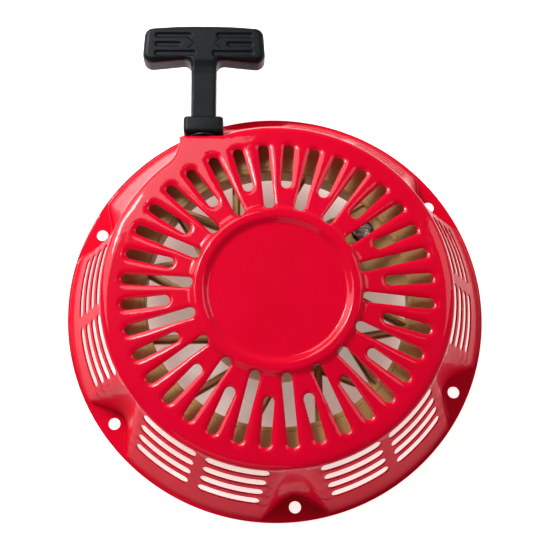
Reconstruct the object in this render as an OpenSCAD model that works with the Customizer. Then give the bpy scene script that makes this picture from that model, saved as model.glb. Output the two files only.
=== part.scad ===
// Recoil (pull) starter of a small gasoline engine.
// The origin is the centre of the bolt circle on the mating face. +Z points out through the dome,
// away from the engine, and +Y is the direction in which the handle is pulled.

/* [Flange and dome] */
// Outer diameter of the mounting flange
flange_d = 250; // [245:1:260]
// Thickness of the pressed steel sheet
sheet_t = 1.5; // [1.2:0.1:1.8]
// Height of the raised ring at the middle of the dome
dome_h = 58.2; // [56:0.1:62]
// Diameter of the flat centre disc
disc_d = 77.2; // [70:0.2:80]

/* [Engine bolts] */
// Diameter of the bolt circle
bolt_pcd = 233; // [230:1:236]
// Diameter of each bolt hole, for M6
bolt_hole_d = 7; // [6.4:0.1:7.4]
// Number of bolt holes
bolt_count = 6; // [6]

/* [Air slots] */
// Number of radial slots around the face, long and short in turn
slot_count = 36; // [24:2:36]
// Width of each radial slot
slot_w = 6; // [4:0.2:6.4]
// Height of each slit in the wall
slit_h = 5.6; // [4:0.2:6]
// Rows of slits in the wall
slit_rows = 4; // [2:1:4]

/* [Reel] */
// Outer diameter of the reel
reel_d = 188; // [182:1:188]
// Inner diameter of the reel's rim
rim_in_d = 151; // [148:1:153]
// Number of straight spokes
spoke_count = 12; // [8:1:12]

/* [Rope and handle] */
// Diameter of the rope
rope_d = 5; // [4:0.1:5.2]
// Width of the T handle
handle_w = 73.3; // [60:0.1:90]
// Thickness of the T handle
handle_t = 15; // [14:0.5:18]

/* [Hidden] */
$fn = 64;

paint_red = [0.80, 0.02, 0.08];
steel = [0.70, 0.70, 0.72];
spring_steel = [0.42, 0.42, 0.45];
nylon_tan = [0.62, 0.50, 0.32];
handle_black = [0.06, 0.07, 0.09];
rope_grey = [0.78, 0.77, 0.74];

// ---- dome levels and radii ----
flange_r = flange_d / 2;
bolt_r = bolt_pcd / 2;
bolt_turn = 35.17;      // angle of the first bolt hole, which sets the turn of the whole pressing
bolt_step = 360 / bolt_count;
hidden_hole = 1;        // index of the bolt hole beside the rope nose, with a low pocket
rim_land_r = 122.2;     // inner edge of the flat rim
wall_foot = [120.3, 6.4];
wall_head = [101.6, 46.9];
shoulder = [[99.6, 49.9], [96, 51.2]];
face_in_r = 50;
face_z = 56.1;          // face at its inner edge
ring_r = [46.8, 43.4];
disc_z = 56;
wall_gap = sheet_t / cos(24.8);   // horizontal thickness of the sloping wall

// ---- bolt pockets ----
pocket_r0 = 7.5;
pocket_r1 = 17;
pocket_top = 47.6;
low_pocket_top = 34;

// ---- rope nose ----
nose_corner = [-50.9, 90.6];
nose_corner_r = 5;
nose_side = 160.6;        // facing of the nose's left side
nose_right = -33;
nose_z = [12, 51];
seat_y = 95.6;            // flat face that carries the rope eyelet
seat_x = [-57, -29];
seat_z = 28;
pull_x = -43;
pull_z = 42;
eyelet_hole_r = 4.2;
eyelet_front_y = 96.8;

// ---- slots ----
slot_out_r = 88.9;
slot_in_r = [61, 48.1];   // inner ends of the short and the long slots
slit_z0 = 45.3;
slit_step = 9;
slit_span = 20.4;         // degrees covered by one slit of the top row
slit_taper = 0.8;         // degrees by which each lower slit is shorter
slit_gap = 3.2;           // degrees between the two slits of a pair

// ---- spindle, springs and screw ----
spindle_r = 9;
spindle_tip_r = 5;
spindle_shoulder_z = 20;
spindle_tip_z = 14;
spindle_top_z = 52.9;
screw_r = 3;
spring_z = [41.5, 51.5];
spring_turns = 7;
spring_r = [12.5, 36.5];
strip_t = 0.8;

// ---- reel ----
reel_r = reel_d / 2;
rim_in_r = rim_in_d / 2;
groove_r = 77.5;
rim_z = [26.4, 41.4];
groove_z = [28.2, 39.6];
hub_r = 46.8;
hub_wall = 3.2;
hub_z = [22, 52.6];
web_z = [37, 40.5];
boss_r = 14.5;
bush_r = 11;
spoke_z = [29.5, 40];
spoke_t = 1.8;
spoke_foot_w = 4.6;
spoke_foot_h = 2.2;
spoke_turn = 18;          // angle of the first spoke's outer end
spoke_lead = 13;          // degrees by which a spoke's inner end is ahead of its outer end
brace_lag = 20;           // degrees by which a brace's inner end is behind its outer end
braces = [4, 5, 10, 11];  // spokes whose outer end also carries a brace
plate_angles = [2, 43, 63, 50];

// ---- pawls and ratchet guide ----
pawl_arm_r = 30;
pawl_turns = [205, 25];
pin_r = 4;
pin_z = [13.5, 30];
pawl_z = [13.9, 19.4];
pawl_bore_r = pin_r + 0.05;
drive_pin_r = 1.8;
drive_pin = [29, -20];    // place of a pawl's drive pin, when the pawl's pivot is at [30, 0]
drive_pin_end = [23.5, -33.9];
guide_r = 38;
guide_z = [11.6, 13.1];

// ---- handle ----
buffer_y = [eyelet_front_y + 0.3, 107.4];
buffer_w = 23.4;
buffer_t = 16;
buffer_corner_r = 2.5;
stem_w = 15.2;
bar_y = [142.6, 166.5];
bar_corner_r = 6;
bore_r = 3.1;
pocket_y = 149;
knot_pocket_r = 6;

// ---- rope route, from the eyelet down to the reel ----
lead_route = [
    [-43, 96.2, 42], [-43, 92.8, 42], [-43.5, 90.4, 41.6], [-45, 88.2, 40.5],
    [-47.4, 85.1, 38.7], [-50, 81.2, 37], [-52.4, 77.2, 36.6], [-55, 73, 36.6]
];

// ---------- helpers ----------
function polar(r, a) = [r * cos(a), r * sin(a)];
function add(a, b) = [for (i = [0 : len(a) - 1]) a[i] + b[i]];

// Ring between two radii and two heights
module ring(r_in, r_out, z0, z1) {
    difference() {
        translate([0, 0, z0]) cylinder(r = r_out, h = z1 - z0);
        translate([0, 0, z0 - 1]) cylinder(r = r_in, h = z1 - z0 + 2);
    }
}

// Runs its children around the six bolt holes
module at_bolts() {
    for (i = [0 : bolt_count - 1])
        rotate([0, 0, bolt_turn + i * bolt_step]) translate([bolt_r, 0, 0]) {
            $low = i == hidden_hole;
            children();
        }
}

// Places a shape that is drawn along Z on the pull axis, which runs along Y
module on_pull_axis(y) {
    translate([pull_x, y, pull_z]) rotate([-90, 0, 0]) children();
}

// Tube swept along a route, closed at both ends
function unit(v) = v / norm(v);
function tangent(p, i) = unit(p[min(i + 1, len(p) - 1)] - p[max(i - 1, 0)]);
function side(t) = unit(cross(t, [0, 0, 1]));
module swept_tube(route, r, sides = 10) {
    n = len(route);
    points = [for (i = [0 : n - 1]) let (t = tangent(route, i), u = side(t), v = cross(t, u))
        for (k = [0 : sides - 1]) route[i] + r * (cos(360 * k / sides) * u + sin(360 * k / sides) * v)];
    walls = [for (i = [0 : n - 2], k = [0 : sides - 1]) let (j = (k + 1) % sides)
        [i * sides + k, i * sides + j, (i + 1) * sides + j, (i + 1) * sides + k]];
    first = [for (k = [sides - 1 : -1 : 0]) k];
    last = [for (k = [0 : sides - 1]) (n - 1) * sides + k];
    polyhedron(points = points, faces = concat([first], walls, [last]), convexity = 4);
}

// ---------- housing ----------
module dome_outside() {
    rotate_extrude($fn = 180) polygon([
        [0, 0], [flange_r, 0], [flange_r, sheet_t], [rim_land_r, sheet_t], wall_foot, wall_head,
        shoulder[0], shoulder[1], [face_in_r, face_z], [ring_r[0], dome_h], [ring_r[1], dome_h],
        [disc_d / 2, disc_z], [0, disc_z]
    ]);
}

module dome_inside() {
    t = sheet_t;
    rotate_extrude($fn = 180) polygon([
        [0, -1], [rim_land_r - wall_gap, -1], [rim_land_r - wall_gap, 1.2],
        [wall_foot[0] - wall_gap, wall_foot[1] - 0.4], [wall_head[0] - wall_gap, wall_head[1] - 0.4],
        [shoulder[0][0] - 1.2, shoulder[0][1] - 1.1], [shoulder[1][0] - 0.4, shoulder[1][1] - t],
        [face_in_r - 0.3, face_z - t], [ring_r[0] - 0.4, dome_h - t], [ring_r[1] + 0.4, dome_h - t],
        [disc_d / 2 + 0.4, disc_z - t], [0, disc_z - t]
    ]);
}

// Outline of the nose: a flat front, a round corner and a side that runs back into the dome
module nose_outline(shrink) {
    corner_r = nose_corner_r - shrink;
    front = nose_corner[1] + corner_r - 0.1;
    side_start = add(nose_corner, polar(corner_r - 0.1, nose_side));
    polygon([
        [nose_right - shrink, 80], [nose_right - shrink, front], [nose_corner[0], front], nose_corner,
        side_start, add(side_start, polar(22, nose_side + 90))
    ]);
    translate(nose_corner) circle(r = corner_r);
}

// The nose, with its top edge bevelled at the corner
module nose_block(shrink) {
    top = nose_z[1] - shrink;
    difference() {
        translate([0, 0, nose_z[0]]) linear_extrude(top - nose_z[0]) nose_outline(shrink);
        translate([0, 0, top - 4]) difference() {
            cylinder(r = 130, h = 8);
            translate([0, 0, -1]) cylinder(r1 = 112.6 - shrink, r2 = 103.6 - shrink, h = 9);
        }
    }
}

// Space in front of the flat seat; behind it the sheet is kept whole
module seat_space(grow) {
    translate([seat_x[0] - grow, seat_y - grow, seat_z - grow])
        cube([seat_x[1] - seat_x[0] + 2 * grow, 20, 40]);
}

module radial_slots() {
    for (i = [0 : slot_count - 1]) {
        inner = slot_in_r[i % 2];
        rotate([0, 0, bolt_turn + (i + 1) * 360 / slot_count - 40]) translate([0, 0, 44]) linear_extrude(20) {
            translate([inner + slot_w / 2, -slot_w / 2])
                square([slot_out_r - inner - slot_w, slot_w]);
            translate([inner + slot_w / 2, 0]) circle(d = slot_w);
            translate([slot_out_r - slot_w / 2, 0]) circle(d = slot_w);
        }
    }
}

// Slits in pairs between neighbouring bolt holes, but not beside the rope nose
module wall_slits() {
    for (sector = [0 : bolt_count - 1], half = [-1, 1])
        if (sector != hidden_hole)
            rotate([0, 0, bolt_turn + (sector + 0.5) * bolt_step])
                for (row = [0 : slit_rows - 1]) {
                    from = half * slit_gap / 2;
                    to = half * (slit_gap / 2 + slit_span - row * slit_taper);
                    intersection() {
                        ring(88, 123, slit_z0 - row * slit_step - slit_h / 2,
                             slit_z0 - row * slit_step + slit_h / 2);
                        linear_extrude(60) polygon([polar(20, (from + to) / 2), polar(150, from), polar(150, to)]);
                    }
                }
}

module housing_shell() color(paint_red) difference() {
    union() {
        dome_outside();
        nose_block(0);
    }
    difference() {
        union() {
            dome_inside();
            nose_block(sheet_t);
        }
        at_bolts() translate([0, 0, -2])
            cylinder(r1 = pocket_r0 + sheet_t - 0.7, r2 = pocket_r1 + sheet_t,
                     h = ($low ? low_pocket_top : pocket_top) + 2 + sheet_t);
        seat_space(sheet_t);
    }
    at_bolts() translate([0, 0, sheet_t])
        cylinder(r1 = pocket_r0, r2 = pocket_r1, h = ($low ? low_pocket_top : pocket_top) - sheet_t);
    at_bolts() translate([0, 0, -1]) cylinder(d = bolt_hole_d, h = 4);
    seat_space(0);
    radial_slots();
    wall_slits();
    on_pull_axis(seat_y - 4) cylinder(r = eyelet_hole_r, h = 8);
}

module spindle() color(steel) difference() {
    union() {
        translate([0, 0, spindle_top_z]) cylinder(r = 27, h = disc_z - sheet_t - spindle_top_z);
        translate([0, 0, spindle_shoulder_z]) cylinder(r = spindle_r, h = spindle_top_z - spindle_shoulder_z);
        translate([0, 0, spindle_tip_z]) cylinder(r = spindle_tip_r, h = spindle_shoulder_z - spindle_tip_z + 1);
    }
    translate([0, 0, spindle_tip_z - 1]) cylinder(r = screw_r, h = 15);
    // slot that takes the inner end of the power spring
    translate([-spindle_r - 1, -0.6, spring_z[0] - 0.5]) cube([5, 1.2, spring_z[1] - spring_z[0] + 1]);
}

module rope_eyelet() color(handle_black) on_pull_axis(0) rotate_extrude() polygon([
    [6.2, seat_y - 6], [7.4, seat_y - 5], [7.4, seat_y - sheet_t - 0.05],
    [eyelet_hole_r - 0.1, seat_y - sheet_t - 0.05], [eyelet_hole_r - 0.1, seat_y + 0.05], [9, seat_y + 0.05],
    [9, eyelet_front_y - 0.4], [8.6, eyelet_front_y], [4, eyelet_front_y], [3.1, eyelet_front_y - 1],
    [3.1, seat_y - 3.5], [4.6, seat_y - 6]
]);

// Flat strip wound from the spindle out to the reel's cup
module power_spring() color(spring_steel) {
    steps = 24;
    last = spring_turns * steps;
    pitch = (spring_r[1] - spring_r[0]) / last;
    outer = [for (i = [0 : last]) polar(spring_r[0] + i * pitch + strip_t, i * 360 / steps)];
    inner = [for (i = [last : -1 : 0]) polar(spring_r[0] + i * pitch, i * 360 / steps)];
    translate([0, 0, spring_z[0]]) linear_extrude(spring_z[1] - spring_z[0]) {
        polygon(concat(outer, inner));
        translate([spindle_r + 0.4, 0]) square([spring_r[0] - spindle_r, strip_t]);
        translate([spring_r[1], 0]) square([2.5, strip_t]);
    }
}

module thrust_washer() color(steel) ring(spindle_tip_r + 0.1, 13.5, 18.6, spindle_shoulder_z - 0.05);

module center_screw() color(steel) {
    translate([0, 0, 10]) cylinder(r = 9, h = 1.4);
    translate([0, 0, 6]) cylinder(r = 5.8, h = 4.2, $fn = 6);
    translate([0, 0, 11]) cylinder(r = screw_r - 0.02, h = 16);
}

module rope_lead() color(rope_grey) swept_tube(lead_route, rope_d / 2);

module rope_span() color(rope_grey) on_pull_axis(lead_route[0][1] + 0.1) cylinder(d = rope_d, h = pocket_y + 1.9 - lead_route[0][1] - 0.1);

// ---------- reel ----------
// A straight spoke between two polar points: a thin fin on a wider foot, both a little lower by drop
module spoke(hub_a, rim_a, drop) {
    a = polar(hub_r - 1.6, hub_a);
    b = polar(rim_in_r + 1.2, rim_a);
    run = b - a;
    translate([a[0], a[1], -drop]) rotate([0, 0, atan2(run[1], run[0])]) {
        translate([0, -spoke_t / 2, spoke_z[0] + 1]) cube([norm(run), spoke_t, spoke_z[1] - spoke_z[0] - 1]);
        translate([0, -spoke_foot_w / 2, spoke_z[0]]) cube([norm(run), spoke_foot_w, spoke_foot_h]);
    }
}

// Wide web that holds the knot of the rope
module knot_plate() {
    a = plate_angles;
    difference() {
        translate([0, 0, spoke_z[0] - 1.1]) linear_extrude(spoke_z[1] - spoke_z[0] - 0.3)
            polygon([
                polar(hub_r - 1.3, a[1] - 20), polar(hub_r - 1.3, a[1]), polar(hub_r - 1.3, a[2]),
                polar(rim_in_r + 0.8, a[3]), polar(rim_in_r + 0.8, a[3] - 16), polar(rim_in_r + 0.8, a[3] - 32),
                polar(rim_in_r + 0.8, a[0])
            ]);
        // pocket for the knot, open to the front, and a lightening hole
        rotate([0, 0, 38]) translate([64, 0, spoke_z[0] + 2]) cylinder(r = 6.8, h = 20);
        rotate([0, 0, 53]) translate([63, 0, 20]) cylinder(r = 6, h = 30);
    }
}

module reel() color(nylon_tan) difference() {
    union() {
        // rim with its rope groove, a fine step on its front and broken edges
        rotate_extrude($fn = 180) polygon([
            [rim_in_r, rim_z[0]], [reel_r - 0.6, rim_z[0]], [reel_r, rim_z[0] + 0.6],
            [reel_r, groove_z[0] - 0.6], [reel_r - 0.5, groove_z[0]], [groove_r, groove_z[0]],
            [groove_r, groove_z[1]], [reel_r - 0.5, groove_z[1]], [reel_r, groove_z[1] + 0.6],
            [reel_r, rim_z[1] - 0.7], [reel_r - 0.8, rim_z[1] - 0.1], [86, rim_z[1]], [79, rim_z[1] - 0.1],
            [78.6, rim_z[1] - 0.4], [78.2, rim_z[1] - 0.1], [rim_in_r + 0.9, rim_z[1] - 0.2], [rim_in_r, rim_z[1] - 1]
        ]);
        // hub: outer wall, web, back plate and bush boss, turned in one piece
        rotate_extrude($fn = 180) polygon([
            [bush_r, 20.3], [boss_r, 20.3], [boss_r, hub_z[0]], [hub_r, hub_z[0]], [hub_r, hub_z[1]],
            [hub_r - hub_wall, hub_z[1]], [hub_r - hub_wall, web_z[1]], [bush_r, web_z[1]]
        ]);
        for (k = [0 : spoke_count - 1]) {
            at = spoke_turn + k * 360 / spoke_count;
            if (k != 0) spoke(at + spoke_lead, at, 0);
            if (len(search(k, braces)) > 0) spoke(at - brace_lag, at - 1.5, 0.4);
        }
        knot_plate();
    }
    // hollow of the hub behind the web, around the boss and the two pin bosses
    difference() {
        ring(boss_r, hub_r - hub_wall, hub_z[0] + 3, web_z[0]);
        for (turn = pawl_turns) rotate([0, 0, turn]) translate([pawl_arm_r, 0, hub_z[0]])
            cylinder(r = pin_r + 3, h = 20);
    }
    for (turn = pawl_turns) rotate([0, 0, turn]) translate([pawl_arm_r, 0, hub_z[0] - 1])
        cylinder(r = pin_r, h = pin_z[1] - hub_z[0] + 1);
    // passage for the rope from the groove into the knot pocket
    rotate([0, 0, 38]) translate([64, 0, 35]) rotate([0, 90, 0]) cylinder(r = 2.9, h = 18);
    // notch for the outer end of the power spring
    translate([spring_r[1] - 1, -1, spring_z[0] - 0.6]) cube([12, 3, 12]);
}

module reel_bush() color(spring_steel) ring(spindle_r + 0.05, bush_r, 20.3, web_z[1]);

module pawl_pins() color(steel) for (turn = pawl_turns)
    rotate([0, 0, turn]) translate([pawl_arm_r, 0, pin_z[0]]) cylinder(r = pin_r, h = pin_z[1] - pin_z[0]);

module rope_winding() color(rope_grey) ring(groove_r + 0.1, groove_r + 0.2 + 2 * rope_d, groove_z[0] + 0.4, groove_z[1] - 0.4);

module reel_knot() color(rope_grey) rotate([0, 0, 38]) {
    translate([64, 0, 37.2]) scale(1) sphere(r = 5.4, $fn = 32);
    translate([68, 0, 35]) rotate([0, 90, 0]) cylinder(d = rope_d, h = 9.4);
}

// ---------- pawls, drawn with the pivot at [pawl_arm_r, 0] ----------
module pawl(turn) color(steel) rotate([0, 0, turn]) difference() {
    union() {
        translate([0, 0, pawl_z[0]]) linear_extrude(pawl_z[1] - pawl_z[0]) {
            translate([pawl_arm_r, 0]) circle(r = 7.4);
            polygon([[37.2, -1.5], [36.5, -9], [34, -17], [29.5, -26.5], [24.6, -32], [21.6, -33.6],
                     [20.8, -31], [23.4, -24], [24, -14], [23, -3], [27, 3]]);
        }
        translate([drive_pin[0] - 1.4, drive_pin[1], guide_z[0] - 0.4])
            cylinder(r = drive_pin_r, h = pawl_z[0] - guide_z[0] + 1);
    }
    translate([pawl_arm_r, 0, pawl_z[0] - 1]) cylinder(r = pawl_bore_r, h = 9);
}

module pawl_1() pawl(pawl_turns[0]);
module pawl_2() pawl(pawl_turns[1]);

// Torsion spring around a pawl's pin, with a leg on the pawl's outer side
module pawl_spring(turn) color(spring_steel) rotate([0, 0, turn]) translate([pawl_arm_r, 0, 0]) {
    ring(pin_r + 0.3, pin_r + 1.3, 19.7, 21.7);
    translate([pin_r + 0.4, -9, 20.2]) cube([1, 9, 1]);
    translate([-pin_r - 1.4, 0, 20.2]) cube([1, 8, 1]);
}

module pawl_spring_1() pawl_spring(pawl_turns[0]);
module pawl_spring_2() pawl_spring(pawl_turns[1]);

// Pressed disc with a raised middle and two open notches for the pawls' drive pins
module ratchet_guide() color(steel) difference() {
    union() {
        translate([0, 0, guide_z[0]]) cylinder(r = guide_r, h = guide_z[1] - guide_z[0]);
        ring(guide_r - 1.4, guide_r, guide_z[0] - 2.4, guide_z[1]);
    }
    translate([0, 0, guide_z[0] - 1]) cylinder(r = spindle_tip_r + 0.1 - 1.6, h = 4);
    for (turn = pawl_turns) rotate([0, 0, turn]) translate([0, 0, guide_z[0] - 4]) linear_extrude(8) {
        start = add(drive_pin, [-1.4, 0]);
        past = start + 1.8 * (drive_pin_end - drive_pin);
        along = unit(past - start);
        across = 3.1 * [-along[1], along[0]];
        translate(start) circle(r = 3.1);
        polygon([start + across, past + across, past - across, start - across]);
    }
    for (i = [0 : 5]) rotate([0, 0, 25 + 60 * i + 8]) translate([22, 0, guide_z[0] - 1]) cylinder(r = 3, h = 4);
}

// Conical spring that presses the guide against the screw, drawn as its outer shape
module friction_spring() color(spring_steel) ring(6.2, 8, guide_z[1] + 0.1, 18.4);

// ---------- rope end and handle ----------
module knot_washer() color(steel) on_pull_axis(0) ring(rope_d / 2 + 0.3, knot_pocket_r - 0.4, pocket_y + 0.2, pocket_y + 1.7);

module handle_knot() color(rope_grey) on_pull_axis(pocket_y + 7.5) sphere(r = 5.4, $fn = 32);

// Bar with two upper and two lower round corners
module bar_outline() {
    half = handle_w / 2 - bar_corner_r;
    low = bar_y[0] + bar_corner_r;
    high = bar_y[1] - bar_corner_r;
    for (x = [-half, half], y = [low, high]) translate([x, y]) circle(r = bar_corner_r);
    translate([-half, bar_y[0]]) square([2 * half, bar_y[1] - bar_y[0]]);
    translate([-handle_w / 2, low]) square([handle_w, high - low]);
}

// Raised ribs in the shape of an E on each side of the bar's front and back
module grip_ribs() {
    for (s = [-1, 1], z = [-handle_t / 2 - 0.6, handle_t / 2 - 0.4]) translate([0, 0, z]) linear_extrude(1) {
        for (y = [147.8, 153.6, 159.4]) translate([s > 0 ? 12 : -30, y - 0.7]) square([18, 1.4]);
        translate([s * 29.5 - 0.7, 147.1]) square([1.4, 13]);
    }
}

module handle_grip() color(handle_black) difference() {
    union() {
        translate([pull_x, 0, pull_z]) {
            translate([0, 0, -handle_t / 2]) linear_extrude(handle_t) bar_outline();
            grip_ribs();
            translate([-stem_w / 2, buffer_y[0] + 4, -6.6]) cube([stem_w, 44, 13.2]);
        }
        on_pull_axis(buffer_y[0] + 0.6) cylinder(r = 6, h = 12);
    }
    on_pull_axis(buffer_y[0] - 1) cylinder(r = bore_r, h = 60);
    on_pull_axis(pocket_y) cylinder(r = knot_pocket_r, h = 30);
}

// Outline of the rubber block: a rectangle with round corners
module buffer_outline() {
    half = [buffer_w / 2 - buffer_corner_r, buffer_t / 2 - buffer_corner_r];
    for (x = [-half[0], half[0]], y = [-half[1], half[1]]) translate([x, y]) circle(r = buffer_corner_r);
    translate([-half[0], -buffer_t / 2]) square([2 * half[0], buffer_t]);
    translate([-buffer_w / 2, -half[1]]) square([buffer_w, 2 * half[1]]);
}

module handle_buffer() color(handle_black) difference() {
    translate([pull_x, buffer_y[1], pull_z]) rotate([90, 0, 0])
        linear_extrude(buffer_y[1] - buffer_y[0]) buffer_outline();
    on_pull_axis(buffer_y[0] - 1) cylinder(r = 6.02, h = 20);
    translate([pull_x - stem_w / 2 - 0.02, buffer_y[0] + 3.98, pull_z - 6.62]) cube([stem_w + 0.04, 44, 13.24]);
}

housing_shell();
spindle();
rope_eyelet();
power_spring();
thrust_washer();
center_screw();
rope_lead();
rope_span();
reel();
reel_bush();
pawl_pins();
rope_winding();
reel_knot();
pawl_spring_1();
pawl_spring_2();
pawl_1();
pawl_2();
ratchet_guide();
friction_spring();
knot_washer();
handle_knot();
handle_grip();
handle_buffer();
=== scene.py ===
import math

import bmesh
import bpy
from mathutils import Matrix, Vector


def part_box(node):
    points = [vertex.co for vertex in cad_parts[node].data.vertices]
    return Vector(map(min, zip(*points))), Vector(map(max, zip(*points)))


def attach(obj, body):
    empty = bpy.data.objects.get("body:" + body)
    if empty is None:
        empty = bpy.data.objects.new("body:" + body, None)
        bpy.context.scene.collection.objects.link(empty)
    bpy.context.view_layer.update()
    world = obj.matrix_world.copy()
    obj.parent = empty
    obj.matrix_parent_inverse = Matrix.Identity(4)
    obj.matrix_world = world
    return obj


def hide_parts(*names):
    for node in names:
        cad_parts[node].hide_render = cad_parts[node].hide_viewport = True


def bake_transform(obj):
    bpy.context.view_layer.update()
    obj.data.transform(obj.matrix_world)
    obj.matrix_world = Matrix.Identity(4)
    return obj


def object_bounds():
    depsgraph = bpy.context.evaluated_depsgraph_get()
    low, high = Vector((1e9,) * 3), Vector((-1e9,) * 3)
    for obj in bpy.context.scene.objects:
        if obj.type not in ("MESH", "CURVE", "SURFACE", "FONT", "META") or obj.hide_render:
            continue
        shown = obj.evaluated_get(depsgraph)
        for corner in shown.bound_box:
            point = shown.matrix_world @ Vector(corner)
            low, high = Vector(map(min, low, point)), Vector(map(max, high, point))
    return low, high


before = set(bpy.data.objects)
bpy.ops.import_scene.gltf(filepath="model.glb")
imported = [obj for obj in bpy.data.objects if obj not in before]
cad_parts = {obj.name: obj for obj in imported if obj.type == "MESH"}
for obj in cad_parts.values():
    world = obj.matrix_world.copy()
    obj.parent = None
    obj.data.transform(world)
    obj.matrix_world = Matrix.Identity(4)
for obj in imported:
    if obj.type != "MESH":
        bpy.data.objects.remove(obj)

CAD_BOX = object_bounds()
MM = 0.001


def box_mm(node):
    """Lowest and highest corner of a CAD node, in millimetres."""
    low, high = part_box(node)
    return [c / MM for c in low], [c / MM for c in high]


# ---------------------------------------------------------------- dimensions
SHELL_HIGH = box_mm("housing_shell")[1]
BUFFER_LOW, BUFFER_HIGH = box_mm("handle_buffer")
GRIP_LOW, GRIP_HIGH = box_mm("handle_grip")
WINDING_LOW, WINDING_HIGH = box_mm("rope_winding")
SPAN_LOW, SPAN_HIGH = box_mm("rope_span")
SPRING_LOW, SPRING_HIGH = box_mm("friction_spring")

FLANGE_R = SHELL_HIGH[0]
RING_Z = SHELL_HIGH[2]
SHEET = 1.0
PULL_X = (BUFFER_LOW[0] + BUFFER_HIGH[0]) / 2
PULL_Z = (BUFFER_LOW[2] + BUFFER_HIGH[2]) / 2
EYELET_STANDS = 1.2
SEAT_Y = box_mm("rope_eyelet")[1][1] - EYELET_STANDS
ROPE_R = (SPAN_HIGH[0] - SPAN_LOW[0]) / 2

# bolts, and the turn of the whole pressing that they set
BOLT_TURN = 35.17
BOLT_R = 116.5
BOLT_HOLE_R = 3.5
HIDDEN_BOLT = 1

# face, seen in section: radius and height
DISC_Z = RING_Z - 2.2
RING_RISE = (38.4, 43.2)
RING_FALL = (46.0, 50.4)
FACE_AT_50 = 56.1
FACE_SLOPE = -0.1065
FACE_END = 92.0

# wall, shoulder and foot
WALL_HEAD = (101.6, 46.9)
WALL_LEAN = 18.7 / 40.5
POCKET_FOOT = (109.6, 2.5)
POCKET_LEAN = 0.2202
POCKET_TOP = (45.8, 49.6)
LOW_POCKET_TOP = (31, 37)
SHOULDER_Z = 48.7
WALL_STEEP = 0.74
WALL_PAINT_TOP = 47.5
FOOT_Z = 4.5
FOOT_FLAT = 1.3

# radial slots
SLOT_COUNT = 36
SLOT_STEP = 10
SLOT_TURN = 5.17
SLOT_HALF = 3.0
SLOT_OUT = 88.9
SLOT_IN = (61.0, 48.1)
SLOT_STEPS = (0.0, 0.06, 0.13, 0.22, 0.32, 0.44, 0.58, 0.72, 0.86)
CROWN_REACH = 3.6
CROWN_LEAST = 2.2
CROWN_FALL = 0.3

# wall slits
SLIT_Z = (45.3, 36.3, 27.3, 18.3)
SLIT_HALF = 2.8
SLIT_FROM = 1.6
SLIT_SPAN = 20.4
SLIT_TAPER = 0.8
SLIT_LIP = ((0.0, 0.16), (0.3, 0.0))

# rope nose
NOSE_FRONT = SEAT_Y
NOSE_SIDE = (160.6, 83.9)
NOSE_SPAN = (105.5, 110.5, 125, 131)
NOSE_TOP = 46.7
SEAT_R = (14.8, 16.4)
EYELET_R = 4.2


# ---------------------------------------------------------------- small maths
def clamp(x, low=0.0, high=1.0):
    return max(low, min(high, x))


def mix(a, b, t):
    return a + (b - a) * t


def smooth(low, high, x):
    t = clamp((x - low) / (high - low))
    return t * t * (3 - 2 * t)


def soft_max(a, b, width):
    h = max(width - abs(a - b), 0.0) / width
    return max(a, b) + h * h * width / 4


def soft_min(a, b, width):
    return -soft_max(-a, -b, width)


def cos_d(a):
    return math.cos(math.radians(a))


def sin_d(a):
    return math.sin(math.radians(a))


def turn_between(a, b):
    """Signed angle from b to a, between -180 and 180."""
    return (a - b + 180) % 360 - 180


# ---------------------------------------------------------------- the pressing as a surface
# A point of the outer skin is given by a station along the section and an angle. Stations: 0..92 is
# the radius on the face, 92..96 the face's outer part, 96..100 the shoulder, then the wall down to
# the foot, the foot's fillet and the flange.
WALL_FROM = 100.0
WALL_TO = WALL_FROM + SHOULDER_Z - FOOT_Z
FILLET_TO = WALL_TO + 3
FLANGE_TO = FILLET_TO + 10


def face_z(r):
    slope = FACE_AT_50 + FACE_SLOPE * (r - 50)
    if r < 45:
        return mix(DISC_Z, RING_Z, smooth(*RING_RISE, r))
    return mix(RING_Z, slope, smooth(*RING_FALL, r))


def nose_sector(a):
    return smooth(NOSE_SPAN[0], NOSE_SPAN[1], a) * (1 - smooth(NOSE_SPAN[2], NOSE_SPAN[3], a))


def nose_radius(a):
    """Radius of the nose's outline, or a small one away from the nose."""
    if a < 95 or a > 175:
        return 60.0
    facing, distance = NOSE_SIDE
    side = distance / cos_d(a - facing) if a < facing else distance
    return mix(80.0, soft_min(NOSE_FRONT / sin_d(a), side, 4.5), smooth(102, 108.5, a))


def pocket_depth(z, a):
    """How far the wall is pressed in beside a bolt."""
    index = round((a - BOLT_TURN) / 60) % 6
    phi = abs(turn_between(a, BOLT_TURN + 60 * index))
    cone = WALL_HEAD[0] - (z - WALL_HEAD[1]) * WALL_LEAN
    valley = POCKET_FOOT[0] - (z - POCKET_FOOT[1]) * POCKET_LEAN
    top = LOW_POCKET_TOP if index == HIDDEN_BOLT else POCKET_TOP
    depth = max(0.0, cone - valley) * (1 - smooth(*top, z))
    half = mix(9.6, 8.2, clamp((z - 2) / 23)) if z < 25 else mix(8.2, 5.6, clamp((z - 25) / 22))
    t = phi / half
    return depth * (1 - t * t) ** 1.7 if t < 1 else 0.0


def wall_r(z, a):
    a %= 360
    cone = WALL_HEAD[0] - (z - WALL_HEAD[1]) * WALL_LEAN - pocket_depth(z, a)
    r = soft_max(cone, nose_radius(a) + (50 - z) * 0.03, 3.0)
    if 100 < a < 127:
        x = NOSE_FRONT / math.tan(math.radians(a))
        seat = 1 - smooth(*SEAT_R, math.hypot(x - PULL_X, z - PULL_Z))
        r = mix(r, NOSE_FRONT / sin_d(a), seat)
    return r


_column = {}


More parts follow.
